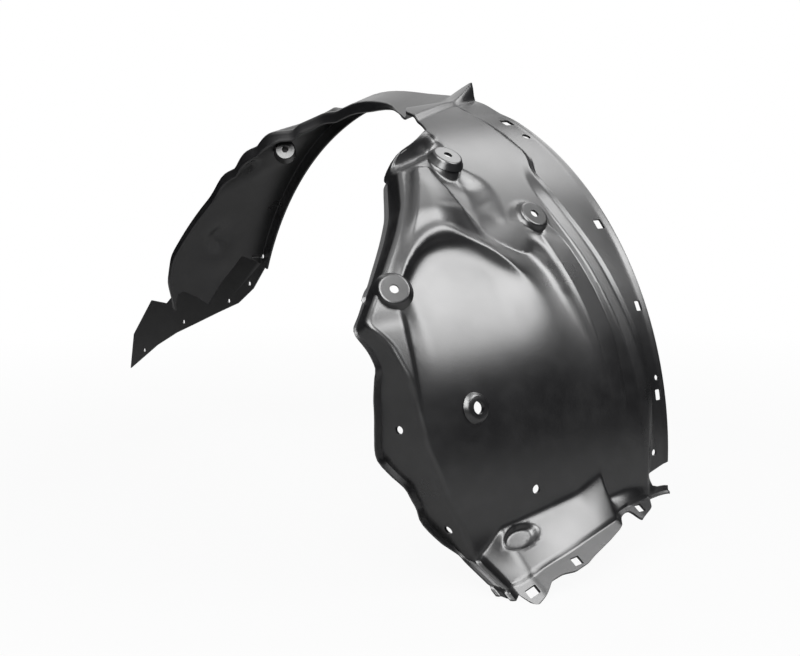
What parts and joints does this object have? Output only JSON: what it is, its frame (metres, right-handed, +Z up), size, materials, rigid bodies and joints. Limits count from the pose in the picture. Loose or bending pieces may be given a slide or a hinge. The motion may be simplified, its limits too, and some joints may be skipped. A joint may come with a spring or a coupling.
{
  "type": "wheel arch liner",
  "caption": "Thin moulded liner for a front wheel arch: a deep ribbed side panel, a narrow top strip and a front arm that ends in a flat plate, with bosses and clip holes.",
  "frame": {"origin": "on the wheel axis, in the plane of the arch lip", "axes": "+X towards the deep side panel, +Y outboard along the wheel axis, +Z up"},
  "size_m": [1.129, 0.3495, 0.471],
  "materials": {
    "plastic": "satin"
  },
  "bodies": {
    "root": {"arch_liner": "plastic"}
  },
  "joints": []
}
